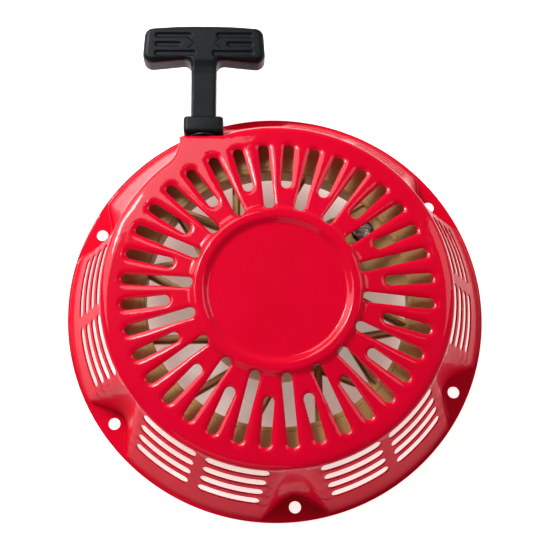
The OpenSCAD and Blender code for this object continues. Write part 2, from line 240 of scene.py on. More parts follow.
def column(a):
    """The parts of one section that stay the same along it: ends and corners of its curves."""
    key = round(a % 360, 5)
    if key in _column:
        return _column[key]
    nose = nose_sector(key)
    top = mix(SHOULDER_Z, NOSE_TOP, nose)
    slope = FACE_SLOPE
    start = (FACE_END, face_z(FACE_END))
    head = wall_r(top, key)
    lean = (wall_r(top - 0.5, key) - head) / -0.5
    # where the wall's tangent meets the face's line
    r = (start[1] - slope * start[0] - top + head / lean) / (1 / lean - slope) if abs(lean) > 0.02 else head
    corner = (r, start[1] + slope * (r - start[0]))
    back = mix(4.6, 3.6, nose)
    edge = (corner[0] - back, corner[1] - slope * back)
    foot = wall_r(FOOT_Z, key)
    foot_lean = (wall_r(FOOT_Z + 0.5, key) - foot) / 0.5
    foot_corner = foot + foot_lean * (SHEET - FOOT_Z)
    result = (top, slope, start, head, corner, edge, foot, foot_corner, foot_corner + FOOT_FLAT)
    _column[key] = result
    return result


def curve3(a, b, c, t):
    return tuple(mix(mix(p, q, t), mix(q, r, t), t) for p, q, r in zip(a, b, c))


def section(s, a):
    """Radius and height of the skin at a station."""
    if s <= FACE_END:
        return s, face_z(s)
    top, slope, start, head, corner, edge, foot, foot_corner, flat = column(a)
    if s <= 96:
        t = (s - FACE_END) / (96 - FACE_END)
        run = edge[0] - start[0]
        h = t * t * (3 - 2 * t)
        z = (mix(start[1], edge[1], h) + run * FACE_SLOPE * t * (1 - t) ** 2
             - run * slope * t * t * (1 - t))
        return start[0] + run * t, z
    if s <= WALL_FROM:
        return curve3(edge, corner, (head, top), (s - 96) / 4)
    if s <= WALL_TO:
        z = mix(top, FOOT_Z, (s - WALL_FROM) / (WALL_TO - WALL_FROM))
        return wall_r(z, a), z
    if s <= FILLET_TO:
        t = (s - WALL_TO) / 3
        return curve3((foot, FOOT_Z), (foot_corner, SHEET), (flat, SHEET), t)
    t = (s - FILLET_TO) / (FLANGE_TO - FILLET_TO)
    return mix(flat, FLANGE_R, t), SHEET


def skin_point(s, a, drop=0.0):
    """Point of the skin; drop lowers it on the face and draws it in on the wall."""
    r, z = section(s, a)
    if s < 99:
        z -= drop
    elif s < WALL_TO:
        r -= drop
    return Vector((r * cos_d(a), r * sin_d(a), z))


# ---------------------------------------------------------------- meshes
class Shape:
    """Vertices in millimetres and faces, gathered patch by patch."""

    def __init__(self):
        self.points, self.faces = [], []

    def add(self, point):
        self.points.append(Vector(point))
        return len(self.points) - 1

    def grid(self, rows, closed=False):
        """Faces between rows of vertex numbers of equal length."""
        for upper, lower in zip(rows, rows[1:]):
            n = len(upper)
            for i in range(n if closed else n - 1):
                j = (i + 1) % n
                self.faces.append((upper[i], lower[i], lower[j], upper[j]))

    def cap(self, ring, flip=False):
        self.faces.append(tuple(reversed(ring)) if flip else tuple(ring))

    def build(self, name, material, weld=0.0, sharp=None, outward=False):
        mesh = bpy.data.meshes.new(name)
        mesh.from_pydata([p * MM for p in self.points], [], self.faces)
        bm = bmesh.new()
        bm.from_mesh(mesh)
        if weld:
            bmesh.ops.remove_doubles(bm, verts=bm.verts, dist=weld * MM)
        if outward:
            bmesh.ops.recalc_face_normals(bm, faces=bm.faces)
        for face in bm.faces:
            face.smooth = True
        if sharp:
            for edge in bm.edges:
                if len(edge.link_faces) == 2 and edge.calc_face_angle(0) > math.radians(sharp):
                    edge.smooth = False
        bm.to_mesh(mesh)
        bm.free()
        piece = bpy.data.objects.new(name, mesh)
        bpy.context.scene.collection.objects.link(piece)
        if material:
            mesh.materials.append(material)
        return piece


def spread(a, b, n):
    return [mix(a, b, i / n) for i in range(n + 1)]


def cell_border(s_list, left, right, n):
    """Points (station, angle) around a cell, from its inner right corner: along the inner side,
    out along the left side, back along the outer side, in along the right side."""
    s0, s1 = s_list[0], s_list[-1]
    inner = [(s0, mix(right(s0), left(s0), i / n)) for i in range(n)]
    up = [(s, left(s)) for s in s_list[:-1]]
    outer = [(s1, mix(left(s1), right(s1), i / n)) for i in range(n)]
    down = [(s, right(s)) for s in reversed(s_list[1:])]
    return inner + up + outer + down


def stadium(half_length, radius, n_cap, n_side, low=0, high=0):
    """Points (along, across) of a stadium, in the order of cell_border: cap at the low end from right
    to left, left side, cap at the high end, right side. low and high of the side points go to the
    two caps."""
    def cap(sign, j, extra):
        t = -90 * sign - 180 * (j + extra) / (n_cap + 2 * extra)
        return (sign * -half_length + radius * cos_d(t), radius * sin_d(t))

    straight = n_side - low - high
    left = [cap(1, n_cap + i, low) for i in range(low)]
    left += [(mix(-half_length, half_length, i / straight), radius) for i in range(straight)]
    left += [cap(-1, i - high, high) for i in range(high)]
    right = [cap(-1, n_cap + i, high) for i in range(high)]
    right += [(mix(half_length, -half_length, i / straight), -radius) for i in range(straight)]
    right += [cap(1, i - low, low) for i in range(low)]
    return ([cap(1, i, low) for i in range(n_cap)] + left
            + [cap(-1, i, high) for i in range(n_cap)] + right)


def slot_drop(s, a):
    """How far the face has rolled down at a point, by its distance from the nearest slot."""
    reach = clamp(s * sin_d(SLOT_STEP / 2) - SLOT_HALF, CROWN_LEAST, CROWN_REACH)
    nearest = reach
    first = math.floor((a - SLOT_TURN) / SLOT_STEP)
    for i in (first, first + 1):
        inner = SLOT_IN[i % 2]
        turn = a - SLOT_TURN - SLOT_STEP * i
        axis, across = s * cos_d(turn) - (inner + SLOT_OUT) / 2, s * sin_d(turn)
        past = max(abs(axis) - ((SLOT_OUT - inner) / 2 - SLOT_HALF), 0.0)
        nearest = min(nearest, math.hypot(past, across) - SLOT_HALF)
    return CROWN_FALL * reach * (1 - clamp(nearest / reach)) ** 2


def add_crowned_cell(shape, border, edge):
    """Fills the space between a slot's edge and its cell's border with a surface that falls off
    towards the edge."""
    rings = []
    for t in (1.0,) + tuple(reversed(SLOT_STEPS)):
        ring = []
        for b, h in zip(border, edge):
            s, a = mix(h[0], b[0], t), mix(h[1], b[1], t)
            ring.append(shape.add(skin_point(s, a, slot_drop(s, a))))
        rings.append(ring)
    shape.grid(rings, closed=True)


def add_cell(shape, border, hole, lips, steps):
    """Fills the space between a cell's border and its hole. hole(offset) gives the hole's outline
    grown by offset, as (station, angle) points."""
    rings = []
    last = hole(lips[-1][0])
    for k in range(steps):
        t = k / steps
        rings.append([shape.add(skin_point(mix(b[0], h[0], t), mix(b[1], h[1], t)))
                      for b, h in zip(border, last)])
    for offset, drop in reversed(lips):
        rings.append([shape.add(skin_point(s, a, drop)) for s, a in hole(offset)])
    shape.grid(rings, closed=True)


COLUMN = 10 / 12
FIRST = 0.17


def face_half(s, long_slot):
    """Half the angle of a slot's cell: long slots take more near their inner ends."""
    swell = 2.6 * smooth(45, 49, s) * (1 - smooth(56, 63, s))
    return 5 + swell if long_slot else 5 - swell


def add_slot_cells(shape):
    s_list = [45, 46, 47, 48, 49, 50.2, 51.6] + spread(53.2, 92, 20)
    for i in range(SLOT_COUNT):
        middle = SLOT_TURN + SLOT_STEP * i
        long_slot = i % 2 == 1
        inner = SLOT_IN[1] if long_slot else SLOT_IN[0]
        center = (inner + SLOT_OUT) / 2
        half = (SLOT_OUT - inner) / 2 - SLOT_HALF

        start = 0 if long_slot else 7
        rows = s_list[start:]
        edge = [(math.hypot(center + u, v), middle + math.degrees(math.atan2(v, center + u)))
                for u, v in stadium(half, SLOT_HALF, 12, len(rows) - 1, 6, 3)]
        border = cell_border(rows, lambda s: middle + face_half(s, long_slot),
                             lambda s: middle - face_half(s, long_slot), 12)
        add_crowned_cell(shape, border, edge)
        if start:
            shape.grid([[shape.add(skin_point(s, a)) for a in
                         spread(middle - face_half(s, False), middle + face_half(s, False), 12)]
                        for s in s_list[:start + 1]])


SLIT_ROWS = (SHOULDER_Z, 40.8, 31.8, 22.8, 13.8)


def station_of(z):
    return WALL_FROM + SHOULDER_Z - z


def add_slit_cells(shape):
    for sector in range(6):
        if sector == HIDDEN_BOLT:
            continue
        middle = BOLT_TURN + 60 * sector + 30
        for side in (-1, 1):
            for row, z in enumerate(SLIT_Z):
                low = middle + side * SLIT_FROM
                high = middle + side * (SLIT_FROM + SLIT_SPAN - SLIT_TAPER * row)
                right, left = min(low, high), max(low, high)
                radius = WALL_HEAD[0] - (z - WALL_HEAD[1]) * WALL_LEAN
                per_mm = math.degrees(1 / radius)
                center = (left + right) / 2
                half = (left - right) / 2 / per_mm - SLIT_HALF

                def hole(offset):
                    # a stadium lying along the angle, started at its upper right
                    pts = stadium(half, SLIT_HALF + offset, 6, 30)
                    pts = [(-v, u) for u, v in pts]
                    turned = pts[36 + 6:] + pts[:36 + 6]
                    return [(station_of(z) + d, center + s * per_mm) for d, s in turned]

                s_list = spread(station_of(SLIT_ROWS[row]), station_of(SLIT_ROWS[row + 1]), 6)
                edge = middle + side * 25
                a, b = min(middle, edge), max(middle, edge)
                border = cell_border(s_list, lambda s: b, lambda s: a, 30)
                add_cell(shape, border, order_hole(hole, border), SLIT_LIP, 3)


def order_hole(hole, border):
    """Starts and turns a hole's outline so that it runs with the border."""
    first = hole(0.0)
    n = len(border)

    def cost(points):
        total = 0.0
        for (s, a), (bs, ba) in zip(points, border):
            total += (s - bs) ** 2 + ((a - ba) * 2) ** 2
        return total

    best = None
    for flip in (False, True):
        base = list(reversed(first)) if flip else first
        for shift in range(n):
            c = cost(base[shift:] + base[:shift])
            if best is None or c < best[0]:
                best = (c, flip, shift)
    _, flip, shift = best

    def ordered(offset):
        points = hole(offset)
        base = list(reversed(points)) if flip else points
        return base[shift:] + base[:shift]

    return ordered


def add_patch(shape, s_list, a0, a1):
    n = round((a1 - a0) / COLUMN)
    rows = [[shape.add(skin_point(s, a)) for a in spread(a0, a1, n)] for s in s_list]
    shape.grid(rows)


EYELET_CELL = (FIRST + 107.5, FIRST + 120)
EYELET_END = station_of(29.5)


def add_eyelet_cell(shape, s_list):
    rate = (WALL_TO - WALL_FROM) / (NOSE_TOP - FOOT_Z)

    def outline(offset):
        out = []
        for k in range(58):
            t = 360 * k / 58
            x = PULL_X + (EYELET_R + offset) * cos_d(t)
            z = PULL_Z + (EYELET_R + offset) * sin_d(t)
            out.append((WALL_FROM + (NOSE_TOP - z) * rate, math.degrees(math.atan2(NOSE_FRONT, x))))
        return out

    border = cell_border(s_list, lambda s: EYELET_CELL[1], lambda s: EYELET_CELL[0], 15)
    add_cell(shape, border, order_hole(outline, border), ((0.0, 0.0), (0.35, 0.0)), 3)


def add_bolt_cell(shape, middle, s_list):
    def outline(offset):
        out = []
        for k in range(2 * 12 + 2 * (len(s_list) - 1)):
            t = 360 * k / (24 + 2 * (len(s_list) - 1))
            u, v = BOLT_R + (BOLT_HOLE_R + offset) * cos_d(t), (BOLT_HOLE_R + offset) * sin_d(t)
            r, a = math.hypot(u, v), middle + math.degrees(math.atan2(v, u))
            flat = column(a)[8]
            out.append((FILLET_TO + 10 * (r - flat) / (FLANGE_R - flat), a))
        return out

    border = cell_border(s_list, lambda s: middle + 5, lambda s: middle - 5, 12)
    add_cell(shape, border, order_hole(outline, border), ((0.0, 0.0), (0.5, 0.0)), 3)


def housing_skin(material):
    shape = Shape()
    whole = [FIRST + COLUMN * i for i in range(432)]

    def band(s_list):
        rows = [[shape.add(skin_point(s, a)) for a in whole] for s in s_list]
        shape.grid(rows, closed=True)
        return rows

    # disc and ring
    rows = band([12, 24, 34, 37.4] + spread(38.4, 45, 11))
    middle = shape.add((0, 0, DISC_Z))
    first = rows[0]
    for i in range(len(first)):
        shape.faces.append((middle, first[i], first[(i + 1) % len(first)]))
    add_slot_cells(shape)
    band(spread(FACE_END, 96, 6) + spread(96, WALL_FROM, 9)[1:])
    # wall
    add_slit_cells(shape)
    upper = []
    for a, b in zip(SLIT_ROWS, SLIT_ROWS[1:]):
        upper += spread(station_of(a), station_of(b), 6)[(1 if upper else 0):]
    eyelet_rows = [s for s in upper if s <= EYELET_END]
    for sector in range(6):
        bolt = BOLT_TURN + 60 * sector
        add_patch(shape, upper, bolt - 5, bolt + 5)
        if sector == HIDDEN_BOLT:
            add_patch(shape, upper, bolt + 5, EYELET_CELL[0])
            add_patch(shape, upper[len(eyelet_rows) - 1:], *EYELET_CELL)
            add_eyelet_cell(shape, eyelet_rows)
            add_patch(shape, upper, EYELET_CELL[1], bolt + 55)
    band(spread(station_of(SLIT_ROWS[-1]), WALL_TO, 8) + spread(WALL_TO, FILLET_TO, 8)[1:])
    # flange
    flange = spread(FILLET_TO, FLANGE_TO, 8)
    for sector in range(6):
        bolt = BOLT_TURN + 60 * sector
        add_bolt_cell(shape, bolt, flange)
        add_patch(shape, flange, bolt + 5, bolt + 55)
    skin = shape.build("housing_pressing", material, weld=0.004)
    return skin


def add_modifier(piece, kind, **values):
    modifier = piece.modifiers.new(kind.title(), kind)
    for key, value in values.items():
        setattr(modifier, key, value)
    return modifier


def flatten_modifiers(piece):
    """Replaces a piece's mesh with the result of its modifiers."""
    bpy.context.view_layer.update()
    done = bpy.data.meshes.new_from_object(piece.evaluated_get(bpy.context.evaluated_depsgraph_get()))
    piece.modifiers.clear()
    piece.data = done


def finish_shell(skin, wall_paint):
    """Gives the skin its thickness and eased edges, and the steep wall its own paint."""
    bm = bmesh.new()
    bm.from_mesh(skin.data)
    center = sum((f.normal.z * f.calc_area() for f in bm.faces))
    if center < 0:
        bmesh.ops.reverse_faces(bm, faces=bm.faces)
    bm.to_mesh(skin.data)
    bm.free()
    add_modifier(skin, "SOLIDIFY", thickness=SHEET * MM, offset=-1.0, use_even_offset=False)
    add_modifier(skin, "BEVEL", width=0.32 * MM, segments=2, limit_method="ANGLE",
                 angle_limit=math.radians(55))
    flatten_modifiers(skin)
    skin.data.materials.append(wall_paint)
    for polygon in skin.data.polygons:
        polygon.use_smooth = True
        if abs(polygon.normal.z) < WALL_STEEP and polygon.center.z < WALL_PAINT_TOP * MM:
            polygon.material_index = 1


def lathe(name, profile, material, n=96, origin=(0, 0, 0), along_y=False, sharp=40, closed=True):
    """A closed profile of (radius, height) turned about Z, or about Y where along_y is set."""
    shape = Shape()
    rows = []
    for r, h in profile:
        row = []
        for i in range(n):
            c, s = r * math.cos(2 * math.pi * i / n), r * math.sin(2 * math.pi * i / n)
            point = (c, h, -s) if along_y else (c, s, h)
            row.append(shape.add([p + o for p, o in zip(point, origin)]))
        rows.append(row)
    if closed:
        rows.append(rows[0])
    else:
        shape.cap(rows[0])
        shape.cap(rows[-1], flip=True)
    shape.grid(rows, closed=True)
    return shape.build(name, material, sharp=sharp, outward=True)


def tube(name, path, radius, material, sides=14, up=(0, 0, 1)):
    """Tube along a path in millimetres, with UVs: U counts diameters along it, V goes around."""
    shape = Shape()
    path = [Vector(p) for p in path]
    rows, lengths, total = [], [], 0.0
    normal = None
    for i, p in enumerate(path):
        tangent = (path[min(i + 1, len(path) - 1)] - path[max(i - 1, 0)]).normalized()
        if normal is None:
            normal = Vector(up).cross(tangent)
            if normal.length < 1e-4:
                normal = Vector((1, 0, 0)).cross(tangent)
        normal = (normal - tangent * normal.dot(tangent)).normalized()
        other = tangent.cross(normal)
        if i:
            total += (p - path[i - 1]).length
        lengths.append(total)
        ring = [shape.add(p + radius * (math.cos(2 * math.pi * k / sides) * normal
                                        + math.sin(2 * math.pi * k / sides) * other)) for k in range(sides)]
        rows.append(ring)
    shape.grid(rows, closed=True)
    shape.cap(rows[0])
    shape.cap(rows[-1], flip=True)
    mesh_faces = len(shape.faces)
    piece = shape.build(name, material)
    layer = piece.data.uv_layers.new(name="along")
    n = sides
    for polygon in piece.data.polygons:
        if polygon.index >= mesh_faces - 2:
            continue
        ring, k = divmod(polygon.index, n)
        corners = [(ring, k), (ring + 1, k), (ring + 1, k + 1), (ring, k + 1)]
        for loop, (row, column_) in zip(polygon.loop_indices, corners):
            layer.data[loop].uv = (lengths[row] / (2 * radius), column_ / n)
    return piece


# ---------------------------------------------------------------- materials
def linear(r, g, b):
    def one(c):
        c /= 255
        return c / 12.92 if c <= 0.04045 else ((c + 0.055) / 1.055) ** 2.4
    return one(r), one(g), one(b), 1.0


class Paint:
    """A material being built: the Principled shader, and short ways to add nodes to it."""

    def __init__(self, name, color, roughness, **sockets):
        self.material = bpy.data.materials.new(name)
        self.material.use_nodes = True
        self.material.diffuse_color = color
        self.tree = self.material.node_tree
        self.shader = self.tree.nodes["Principled BSDF"]
        self.shader.inputs["Base Color"].default_value = color
        self.shader.inputs["Roughness"].default_value = roughness
        for key, value in sockets.items():
            self.shader.inputs[key.replace("_", " ")].default_value = value
        self.place = self.node("ShaderNodeTexCoord").outputs["Object"]

    def node(self, kind, **inputs):
        made = self.tree.nodes.new(kind)
        for key, value in inputs.items():
            self.put(made, key.replace("_", " "), value)
        return made

    def put(self, node, key, value):
        socket = node.inputs[int(key[1:]) if key[0] == "i" and key[1:].isdigit() else key]
        if isinstance(value, bpy.types.NodeSocket):
            self.tree.links.new(value, socket)
        else:
            socket.default_value = value

    def noise(self, scale, detail=3.0, roughness=0.5, place=None):
        made = self.node("ShaderNodeTexNoise", Vector=place or self.place, Scale=scale, Detail=detail,
                         Roughness=roughness)
        return made.outputs["Fac"]

    def ramp(self, value, low, high, a=0.0, b=1.0):
        made = self.tree.nodes.new("ShaderNodeMapRange")
        made.clamp = True
        for key, v in (("Value", value), ("From Min", low), ("From Max", high),
                       ("To Min", a), ("To Max", b)):
            self.put(made, key, v)
        return made.outputs["Result"]

    def maths(self, operation, a, b=0.0):
        made = self.tree.nodes.new("ShaderNodeMath")
        made.operation = operation
        self.put(made, "i0", a)
        self.put(made, "i1", b)
        return made.outputs[0]

    def blend_color(self, factor, a, b):
        made = self.tree.nodes.new("ShaderNodeMix")
        made.data_type = "RGBA"
        self.put(made, "i0", factor)
        self.put(made, "i6", a)
        self.put(made, "i7", b)
        return made.outputs[2]

    def bump(self, height, strength, distance, normal=None):
        made = self.node("ShaderNodeBump", Height=height, Strength=strength, Distance=distance)
        if normal:
            self.put(made, "Normal", normal)
        return made.outputs["Normal"]

    def color(self, socket):
        self.put(self.shader, "Base Color", socket)

    def rough(self, socket):
        self.put(self.shader, "Roughness", socket)

    def normal(self, socket):
        self.put(self.shader, "Normal", socket)


def red_paint(name, gloss):
    """Gloss enamel; gloss is the weight of its clear top layer."""
    p = Paint(name, linear(222, 0, 40), 0.42, Specular_IOR_Level=0.03, Coat_Weight=gloss,
              Coat_Roughness=0.04, Coat_IOR=1.33)
    tone = p.ramp(p.noise(26, 2), 0.3, 0.7)
    p.color(p.blend_color(tone, linear(220, 0, 39), linear(228, 0, 45)))
    p.rough(p.ramp(p.noise(60, 4), 0.35, 0.65, 0.36, 0.44))
    peel = p.bump(p.noise(330, 1.5), 0.045, 0.0006)
    p.normal(peel)
    p.put(p.shader, "Coat Normal", peel)
    return p.material


def tan_nylon():
    p = Paint("tan_nylon", linear(176, 140, 88), 0.42, Specular_IOR_Level=0.4, Subsurface_Weight=0.0)
    cloud = p.ramp(p.noise(34, 4, 0.6), 0.3, 0.7)
    p.color(p.blend_color(cloud, linear(168, 130, 76), linear(190, 154, 100)))
    p.rough(p.ramp(p.noise(160, 3), 0.3, 0.7, 0.36, 0.5))
    p.normal(p.bump(p.noise(900, 3), 0.12, 0.0003))
    return p.material


def zinc_steel(name, tone, rough):
    p = Paint(name, linear(*tone), rough, Metallic=1.0)
    mottle = p.ramp(p.noise(220, 5, 0.7), 0.3, 0.7)
    dark = linear(*[c * 0.82 for c in tone])
    p.color(p.blend_color(mottle, dark, linear(*tone)))
    p.rough(p.ramp(p.noise(500, 3), 0.3, 0.7, rough - 0.08, rough + 0.1))
    p.normal(p.bump(p.noise(1500, 2), 0.08, 0.0002))
    return p.material


def moulded(name, tone, rough, grain):
    p = Paint(name, linear(*tone), rough, Specular_IOR_Level=0.2)
    light = linear(*[c * 1.12 + 2 for c in tone])
    p.color(p.blend_color(p.ramp(p.noise(90, 4), 0.3, 0.7), linear(*tone), light))
    p.rough(p.ramp(p.noise(240, 4), 0.3, 0.7, rough - 0.06, rough + 0.07))
    p.normal(p.bump(p.noise(grain, 3), 0.16, 0.0003))
    return p.material


def starter_rope(name="starter_rope", straight=False):
    """Braided cord. A straight piece takes its pattern from its place, because it stretches."""
    p = Paint(name, linear(212, 208, 198), 0.75, Sheen_Weight=0.25, Specular_IOR_Level=0.25)
    split = p.node("ShaderNodeSeparateXYZ")
    if straight:
        p.put(split, "Vector", p.place)
        x = p.maths("SUBTRACT", split.outputs[0], PULL_X * MM)
        z = p.maths("SUBTRACT", split.outputs[2], PULL_Z * MM)
        around = p.maths("MULTIPLY", p.maths("ARCTAN2", z, x), 0.5 / math.pi)
        along = p.maths("MULTIPLY", split.outputs[1], 0.5 / (ROPE_R * MM))
    else:
        uv = p.node("ShaderNodeUVMap")
        uv.uv_map = "along"
        p.put(split, "Vector", uv.outputs[0])
        along, around = split.outputs[0], split.outputs[1]
    turns = p.maths("MULTIPLY", around, 2 * math.pi * 4)
    run = p.maths("MULTIPLY", along, 2 * math.pi * 1.6)
    one = p.maths("SINE", p.maths("ADD", turns, run))
    two = p.maths("SINE", p.maths("SUBTRACT", turns, run))
    weave = p.maths("MULTIPLY", one, two)
    lift = p.maths("ABSOLUTE", weave)
    grime = p.ramp(p.noise(700, 3), 0.45, 0.7)
    spiral = p.maths("ADD", p.maths("MULTIPLY", around, 2 * math.pi), run)
    tracer = p.maths("GREATER_THAN", p.maths("SINE", spiral), 0.93)
    # painted shade: where the weave's lift is low, in the valleys between strands, the cord is painted
    # darker (cream down to brown) to stand in for the shade there; the grime noise and the dark tracer
    # thread below are real colour
    shade = p.blend_color(p.ramp(lift, 0.0, 0.5), linear(120, 112, 98), linear(222, 218, 208))
    shade = p.blend_color(p.maths("MULTIPLY", grime, 0.35), shade, linear(150, 140, 122))
    shade = p.blend_color(p.maths("MULTIPLY", tracer, 0.8), shade, linear(60, 54, 50))
    p.color(shade)
    fibre = p.bump(p.noise(3000, 2), 0.3, 0.0003)
    p.normal(p.bump(lift, 0.9, 0.0005, fibre))
    return p.material


# ---------------------------------------------------------------- rope
def smooth_path(points, per_span):
    """Catmull-Rom curve through the points."""
    pts = [Vector(p) for p in points]
    pts = [pts[0] * 2 - pts[1]] + pts + [pts[-1] * 2 - pts[-2]]
    out = []
    for a, b, c, d in zip(pts, pts[1:], pts[2:], pts[3:]):
        for k in range(per_span):
            t = k / per_span
            out.append(0.5 * ((2 * b) + (c - a) * t + (2 * a - 5 * b + 4 * c - d) * t * t
                              + (3 * b - a - 3 * c + d) * t ** 3))
    out.append(pts[-2])
    return out


LEAD = [(-43, 96.2, 42), (-43, 92.8, 42), (-43.5, 90.4, 41.6), (-45, 88.2, 40.5),
        (-47.4, 85.1, 38.7), (-50, 81.2, 37), (-52.4, 77.2, 36.6), (-55, 73, 36.6)]
REEL_KNOT_AT = 38


def winding_path():
    """Two layers of rope in the reel's groove."""
    low = WINDING_LOW[2] + ROPE_R + 0.05
    high = WINDING_HIGH[2] - ROPE_R - 0.05
    inner = WINDING_HIGH[0] - 3 * ROPE_R - 0.1
    outer = WINDING_HIGH[0] - ROPE_R - 0.05
    out = []
    steps = 64
    for k in range(4 * steps + 1):
        turn = k / steps
        layer = smooth(1.85, 2.15, turn)
        rise = smooth(0.82, 1.0, turn) - smooth(2.9, 3.1, turn)
        a = REEL_KNOT_AT + 360 * turn
        r = mix(inner, outer, layer)
        out.append((r * cos_d(a), r * sin_d(a), mix(low, high, clamp(rise))))
    return out


def knot_path(center, size, turn=0.0):
    """A simple overhand knot: three crossing loops."""
    out = []
    for k in range(97):
        t = 2 * math.pi * k / 96
        x = math.sin(t) + 2 * math.sin(2 * t)
        y = math.cos(t) - 2 * math.cos(2 * t)
        z = -1.1 * math.sin(3 * t)
        p = Matrix.Rotation(math.radians(turn), 3, "Z") @ Vector((x, y, z)) * (size / 3.0)
        out.append(Vector(center) + p)
    return out


def make_rope(material, straight):
    winding = tube("rope_winding_turns", winding_path(), ROPE_R - 0.1, material)
    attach(winding, "reel")
    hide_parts("rope_winding")

    lead = tube("rope_lead_run", smooth_path(LEAD, 8), ROPE_R, material, sides=18)
    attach(lead, "housing")
    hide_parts("rope_lead")

    at = Vector((64 * cos_d(REEL_KNOT_AT), 64 * sin_d(REEL_KNOT_AT), 37.2))
    knot = tube("reel_knot_loops", knot_path(at, 3.6, 20), 2.2, material)
    out = Vector((cos_d(REEL_KNOT_AT), sin_d(REEL_KNOT_AT), 0))
    route = [at + Vector((0, 0, -2.2)) + out * 9.4, at + Vector((0, 0, -2)) + out * 4,
             at + Vector((0, 0, 1.0)), at + Vector((-3.4, 1.4, 3.4)), at + Vector((-5.6, 3.2, 3.2))]
    tail = tube("reel_knot_tail", smooth_path(route, 6), 2.3, material)
    for piece in (knot, tail):
        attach(piece, "reel")
    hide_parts("reel_knot")

    span = tube("rope_span_run", [(PULL_X, y, PULL_Z) for y in spread(SPAN_LOW[1], SPAN_HIGH[1], 160)],
                ROPE_R, straight, sides=18)
    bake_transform(span)
    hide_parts("rope_span")

    low, high = box_mm("handle_knot")
    center = [(a + b) / 2 for a, b in zip(low, high)]
    end = tube("handle_knot_loops", knot_path(center, 2.9, 50), 2.2, material)
    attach(end, "rope_end")
    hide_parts("handle_knot")


# ---------------------------------------------------------------- handle
BAR_LOW_Y = 144.2
STEM_HALF = 7.6
HALF_W = (GRIP_HIGH[0] - GRIP_LOW[0]) / 2
TOP_Y = GRIP_HIGH[1]
HALF_T = (GRIP_HIGH[2] - GRIP_LOW[2]) / 2 - 0.3


def arc(cx, cy, r, a0, a1, n=6):
    return [(cx + r * cos_d(a), cy + r * sin_d(a)) for a in spread(a0, a1, n)]


def t_outline():
    """Right half of the T's outline from the foot of the stem up to the middle of the top."""
    foot = BUFFER_LOW[1] + 4
    crown = 1.3
    wing = BAR_LOW_Y - 1.5
    right = [(STEM_HALF - 0.2, foot), (STEM_HALF - 0.2, 120), (STEM_HALF, BAR_LOW_Y - 5.5)]
    right += arc(STEM_HALF + 4.6, BAR_LOW_Y - 4.2, 4.6, 180, 96, 6)
    right += arc(HALF_W - 5.6, wing + 5.4, 5.6, -92, 0, 7)
    right += arc(HALF_W - 6.2, TOP_Y - crown - 5.4, 5.4, 2, 84, 7)
    right += [(18, TOP_Y - 0.32), (9, TOP_Y - 0.08)]
    left = [(-x, y) for x, y in reversed(right)]
    return right + [(0, TOP_Y)] + left


def extrude(shape, outline, z0, z1, insets):
    """Closed block of an outline in XY; insets are (height from each face, inset) pairs that round
    its two faces."""
    levels = [(z0 + h, i) for h, i in insets] + [(z1 - h, i) for h, i in reversed(insets)]
    n = len(outline)
    normals = []
    for i in range(n):
        a, b, c = (Vector((*outline[j % n], 0)) for j in (i - 1, i, i + 1))
        u = (b - a).normalized() if (b - a).length > 1e-6 else (c - b).normalized()
        v = (c - b).normalized() if (c - b).length > 1e-6 else u
        m = Vector((u.y + v.y, -u.x - v.x, 0)).normalized()
        normals.append(m)
    rows = []
    for z, inset in levels:
        rows.append([shape.add((p[0] - m.x * inset, p[1] - m.y * inset, z))
                     for p, m in zip(outline, normals)])
    shape.grid(rows, closed=True)
    shape.cap(rows[0])
    shape.cap(rows[-1], flip=True)


ROUND = ((0, 2.6), (0.35, 1.6), (1.0, 0.75), (1.9, 0.2), (3.0, 0.0))


# rows of recesses beside the middle: height, inner end, outer end, half width
RECESSES = ((159.6, 7.2, 29.5, 1.7), (153.8, 13.6, 29.5, 1.7), (147.9, 4.6, 29.8, 1.9))


def capsule_cutters(shape):
    """Cutters for the recesses on both faces of the bar: three rows on each side."""
    for face in (1, -1):
        z = PULL_Z + face * (HALF_T + 0.3)
        for side in (1, -1):
            for y, x0, x1, half in RECESSES:
                add_capsule(shape, side, y, x0, x1, half, z, 1.1)


def chevron_cutters(shape):
    """A thin V on each side of the bar's middle, pointing inwards, on both faces."""
    for face in (1, -1):
        z = PULL_Z + face * HALF_T
        for side in (1, -1):
            bend = [(9.9, 158.0), (9.1, 158.0), (5.8, 154.6), (9.1, 151.2), (9.9, 151.2), (6.6, 154.6)]
            rows = [[shape.add((PULL_X + side * x, y, z + dz)) for x, y in bend] for dz in (-0.5, 0.8)]
            shape.grid(rows, closed=True)
            shape.cap(rows[0])
            shape.cap(rows[-1], flip=True)


def add_capsule(shape, side, y, x0, x1, half, z, depth):
    n = 10
    ring = [(x1 - half + half * cos_d(t), y + half * sin_d(t)) for t in spread(-90, 90, n)]
    ring += [(x0 + half + half * cos_d(t), y + half * sin_d(t)) for t in spread(90, 270, n)]
    rows = []
    for dz, inset in ((-depth, 0.55), (-depth * 0.4, 0.12), (depth, 0.0)):
        rows.append([shape.add((PULL_X + side * mix(px, (x0 + x1) / 2, inset / 12),
                                mix(py, y, inset / half), z + dz)) for px, py in ring])
    shape.grid(rows, closed=True)
    shape.cap(rows[0])
    shape.cap(rows[-1], flip=True)


def remesh(piece, size, passes):
    add_modifier(piece, "REMESH", mode="VOXEL", voxel_size=size * MM, use_smooth_shade=True)
    add_modifier(piece, "SMOOTH", factor=0.5, iterations=passes)
    flatten_modifiers(piece)


def cut(piece, cutter):
    add_modifier(piece, "BOOLEAN", operation="DIFFERENCE", object=cutter, solver="EXACT")
    flatten_modifiers(piece)
    bpy.data.objects.remove(cutter)


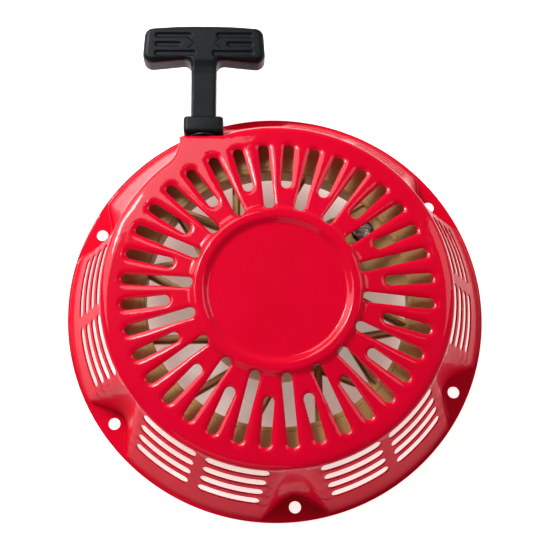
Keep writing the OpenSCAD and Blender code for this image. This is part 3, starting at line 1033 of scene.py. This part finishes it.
def make_handle(plastic, rubber):
    body = Shape()
    outline = [(x + PULL_X, y) for x, y in t_outline()]
    extrude(body, outline, PULL_Z - HALF_T, PULL_Z + HALF_T, ROUND)
    grip = body.build("handle_grip_moulding", plastic, outward=True)
    # the stem is thinner than the bar: shave both sides of it
    shave = Shape()
    for face in (1, -1):
        rows = []
        for y, rise in ((90, 0), (135, 0), (139.5, 0.35), (144, 1.3)):
            depth = 6.6 + rise
            rows.append([shave.add((PULL_X + x, y, PULL_Z + face * h))
                         for x, h in ((-20, depth), (20, depth), (20, 14), (-20, 14))])
        shave.grid(rows, closed=True)
        shave.cap(rows[0])
        shave.cap(rows[-1], flip=True)
    cut(grip, shave.build("shave", None, outward=True))
    remesh(grip, 0.6, 5)
    ribs = Shape()
    capsule_cutters(ribs)
    cut(grip, ribs.build("rib_cutters", None, outward=True))
    bore = lathe("bore", [(3.1, 90), (3.1, 151)], None, 32, (PULL_X, 0, PULL_Z), True, closed=False)
    cut(grip, bore)
    pocket = lathe("pocket", [(6.0, 149), (6.0, 180)], None, 48, (PULL_X, 0, PULL_Z), True, closed=False)
    cut(grip, pocket)
    remesh(grip, 0.38, 2)
    chevrons = Shape()
    chevron_cutters(chevrons)
    cut(grip, chevrons.build("chevron_cutters", None, outward=True))
    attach(grip, "handle")
    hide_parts("handle_grip")

    collar = make_collar(rubber)
    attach(collar, "handle")
    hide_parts("handle_buffer")


def make_collar(rubber):
    """Rubber block on the stem, with round corners and soft edges."""
    half_x = (BUFFER_HIGH[0] - BUFFER_LOW[0]) / 2
    half_z = (BUFFER_HIGH[2] - BUFFER_LOW[2]) / 2
    y0, y1 = BUFFER_LOW[1], BUFFER_HIGH[1]
    corner = 2.6
    block = Shape()
    rows = []
    for y, inset in ((y0, 2.4), (y0 + 0.2, 1.4), (y0 + 0.8, 0.5), (y0 + 1.7, 0.1), (y0 + 2.6, 0),
                     (y1 - 1.4, 0), (y1 - 0.7, 0.12), (y1 - 0.2, 0.45), (y1, 1.0)):
        ring = []
        for sx, sz, start in ((1, 1, 0), (-1, 1, 90), (-1, -1, 180), (1, -1, 270)):
            for x, z in arc(sx * (half_x - corner), sz * (half_z - corner), corner - inset * 0.8,
                            start, start + 90, 6):
                ring.append(block.add((PULL_X + x - sx * inset * 0.2, y, PULL_Z + z - sz * inset * 0.2)))
        rows.append(ring)
    block.grid(rows, closed=True)
    block.cap(rows[0])
    block.cap(rows[-1], flip=True)
    collar = block.build("handle_buffer_block", rubber, outward=True)
    cut(collar, lathe("buffer_bore", [(3.3, y0 - 5), (3.3, y1 + 5)], None, 32,
                      (PULL_X, 0, PULL_Z), True, closed=False))
    return collar


# ---------------------------------------------------------------- small metal parts
def make_friction_spring(material):
    low, high = SPRING_LOW, SPRING_HIGH
    r = (high[0] - low[0]) / 2 - 0.5
    turns, n = 5, 40
    path = []
    for k in range(turns * n + 1):
        t = k / n
        a = 360 * t
        z = mix(low[2] + 0.5, high[2] - 0.5, clamp((t - 0.7) / (turns - 1.4)))
        here = mix(r - 0.9, r, clamp(t / turns))
        path.append((here * cos_d(a), here * sin_d(a), z))
    spring = tube("friction_spring_coil", path, 0.48, material, sides=8)
    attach(spring, "ratchet_guide")
    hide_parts("friction_spring")


def give(node, material):
    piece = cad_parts[node]
    piece.data.materials.clear()
    piece.data.materials.append(material)


# ---------------------------------------------------------------- studio
def area_light(name, place, target, size, power):
    data = bpy.data.lights.new(name, "AREA")
    data.shape = "RECTANGLE"
    data.size, data.size_y = size
    data.energy = power
    light = bpy.data.objects.new(name, data)
    bpy.context.scene.collection.objects.link(light)
    light.location = place
    aim = Vector(target) - Vector(place)
    light.rotation_euler = aim.to_track_quat("-Z", "Y").to_euler()
    return light


def make_studio():
    world = bpy.data.worlds.new("studio")
    bpy.context.scene.world = world
    world.use_nodes = True
    tree = world.node_tree
    sky = tree.nodes["Background"]
    place = tree.nodes.new("ShaderNodeTexCoord")
    split = tree.nodes.new("ShaderNodeSeparateXYZ")
    rise = tree.nodes.new("ShaderNodeMapRange")
    tree.links.new(place.outputs["Generated"], split.inputs[0])
    tree.links.new(split.outputs[2], rise.inputs["Value"])
    rise.inputs["From Min"].default_value = 0.05
    rise.inputs["From Max"].default_value = 0.75
    rise.inputs["To Min"].default_value = 0.22
    rise.inputs["To Max"].default_value = 0.05
    tree.links.new(rise.outputs["Result"], sky.inputs["Color"])
    sky.inputs["Strength"].default_value = 1.0

    far = 1.75
    for name, way, size, radiance in (
            ("softbox_left", (-0.50, 0.56, 0.66), (1.5, 1.25), 4.3),
            ("softbox_core", (-0.44, 0.46, 0.77), (0.34, 0.34), 34),
            ("softbox_right", (0.62, 0.34, 0.71), (0.6, 0.9), 2.6),
            ("fill_front", (-0.25, -0.62, 0.74), (1.0, 0.8), 0.6)):
        place = Vector(way).normalized() * far
        area_light(name, place, (0, 0, 0.03), size, radiance * math.pi * size[0] * size[1])

    floor = Shape()
    z = CAD_BOX[0][2] / MM - 0.05
    far = 6000
    corners = ((-far, -far, z), (far, -far, z), (far, far, z), (-far, far, z))
    floor.faces.append(tuple(floor.add(p) for p in corners))
    p = Paint("studio_floor", (0.86, 0.85, 0.84, 1), 0.85, Specular_IOR_Level=0.1)
    p.color(p.blend_color(p.ramp(p.noise(3, 2), 0.3, 0.7), (0.85, 0.84, 0.83, 1), (0.88, 0.87, 0.86, 1)))
    # painted glow and painted shade: the floor, which is no lamp, glows with emission 0.86 beyond about 118
    # mm from the axis, washing out cast shadows around the part, and only 0.24 within about 70 mm, so that
    # it reads as shadowed grey beneath the pressing
    split = p.node("ShaderNodeSeparateXYZ")
    p.put(split, "Vector", p.place)
    across = p.maths("MULTIPLY", split.outputs[0], split.outputs[0])
    along = p.maths("MULTIPLY", split.outputs[1], split.outputs[1])
    away = p.maths("SQRT", p.maths("ADD", across, along))
    p.shader.inputs["Emission Color"].default_value = (1.0, 0.95, 0.91, 1)
    p.put(p.shader, "Emission Strength", p.ramp(away, 0.07, 0.118, 0.24, 0.86))
    ground = floor.build("studio_floor", p.material)


CAMERA_PLACE = Vector((-0.01901, -0.18149, 0.73298))


def make_camera():
    data = bpy.data.cameras.new("camera")
    data.lens = 81.69
    data.sensor_width = 36
    data.clip_start = 0.01
    data.clip_end = 50
    camera = bpy.data.objects.new("camera", data)
    bpy.context.scene.collection.objects.link(camera)
    rows = ((0.9996929, -0.00668913, 0.02386127), (0.0, 0.96288043, 0.26992829),
            (-0.02478114, -0.2698454, 0.96258473))
    turn = Matrix(rows).transposed().to_4x4()
    camera.matrix_world = Matrix.Translation(CAMERA_PLACE) @ turn
    bpy.context.scene.camera = camera
    view = bpy.context.scene.view_settings
    view.view_transform = "Standard"
    view.look = "None"


# ---------------------------------------------------------------- assembly
def main():
    make_camera()
    make_studio()
    shell = housing_skin(red_paint("red_paint", 1.0))
    finish_shell(shell, red_paint("red_paint_wall", 0.22))
    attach(shell, "housing")
    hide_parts("housing_shell")

    nylon = tan_nylon()
    bright = zinc_steel("zinc_steel", (196, 198, 204), 0.34)
    dark = zinc_steel("spring_steel", (112, 112, 118), 0.4)
    sintered = zinc_steel("sintered_steel", (128, 126, 122), 0.5)
    yellow = zinc_steel("yellow_zinc", (206, 176, 96), 0.34)
    black = moulded("black_plastic", (7, 10, 16), 0.4, 1400)
    rubber = moulded("black_rubber", (7, 10, 15), 0.48, 1000)
    for node, material in (("spindle", bright), ("rope_eyelet", black), ("power_spring", dark),
                           ("thrust_washer", bright), ("center_screw", bright), ("reel", nylon),
                           ("reel_bush", sintered), ("pawl_pins", bright), ("pawl_spring_1", dark),
                           ("pawl_spring_2", dark), ("pawl_1", sintered), ("pawl_2", sintered),
                           ("ratchet_guide", yellow), ("knot_washer", bright)):
        give(node, material)
    make_friction_spring(dark)
    make_rope(starter_rope(), starter_rope("starter_rope_straight", True))
    make_handle(black, rubber)


main()
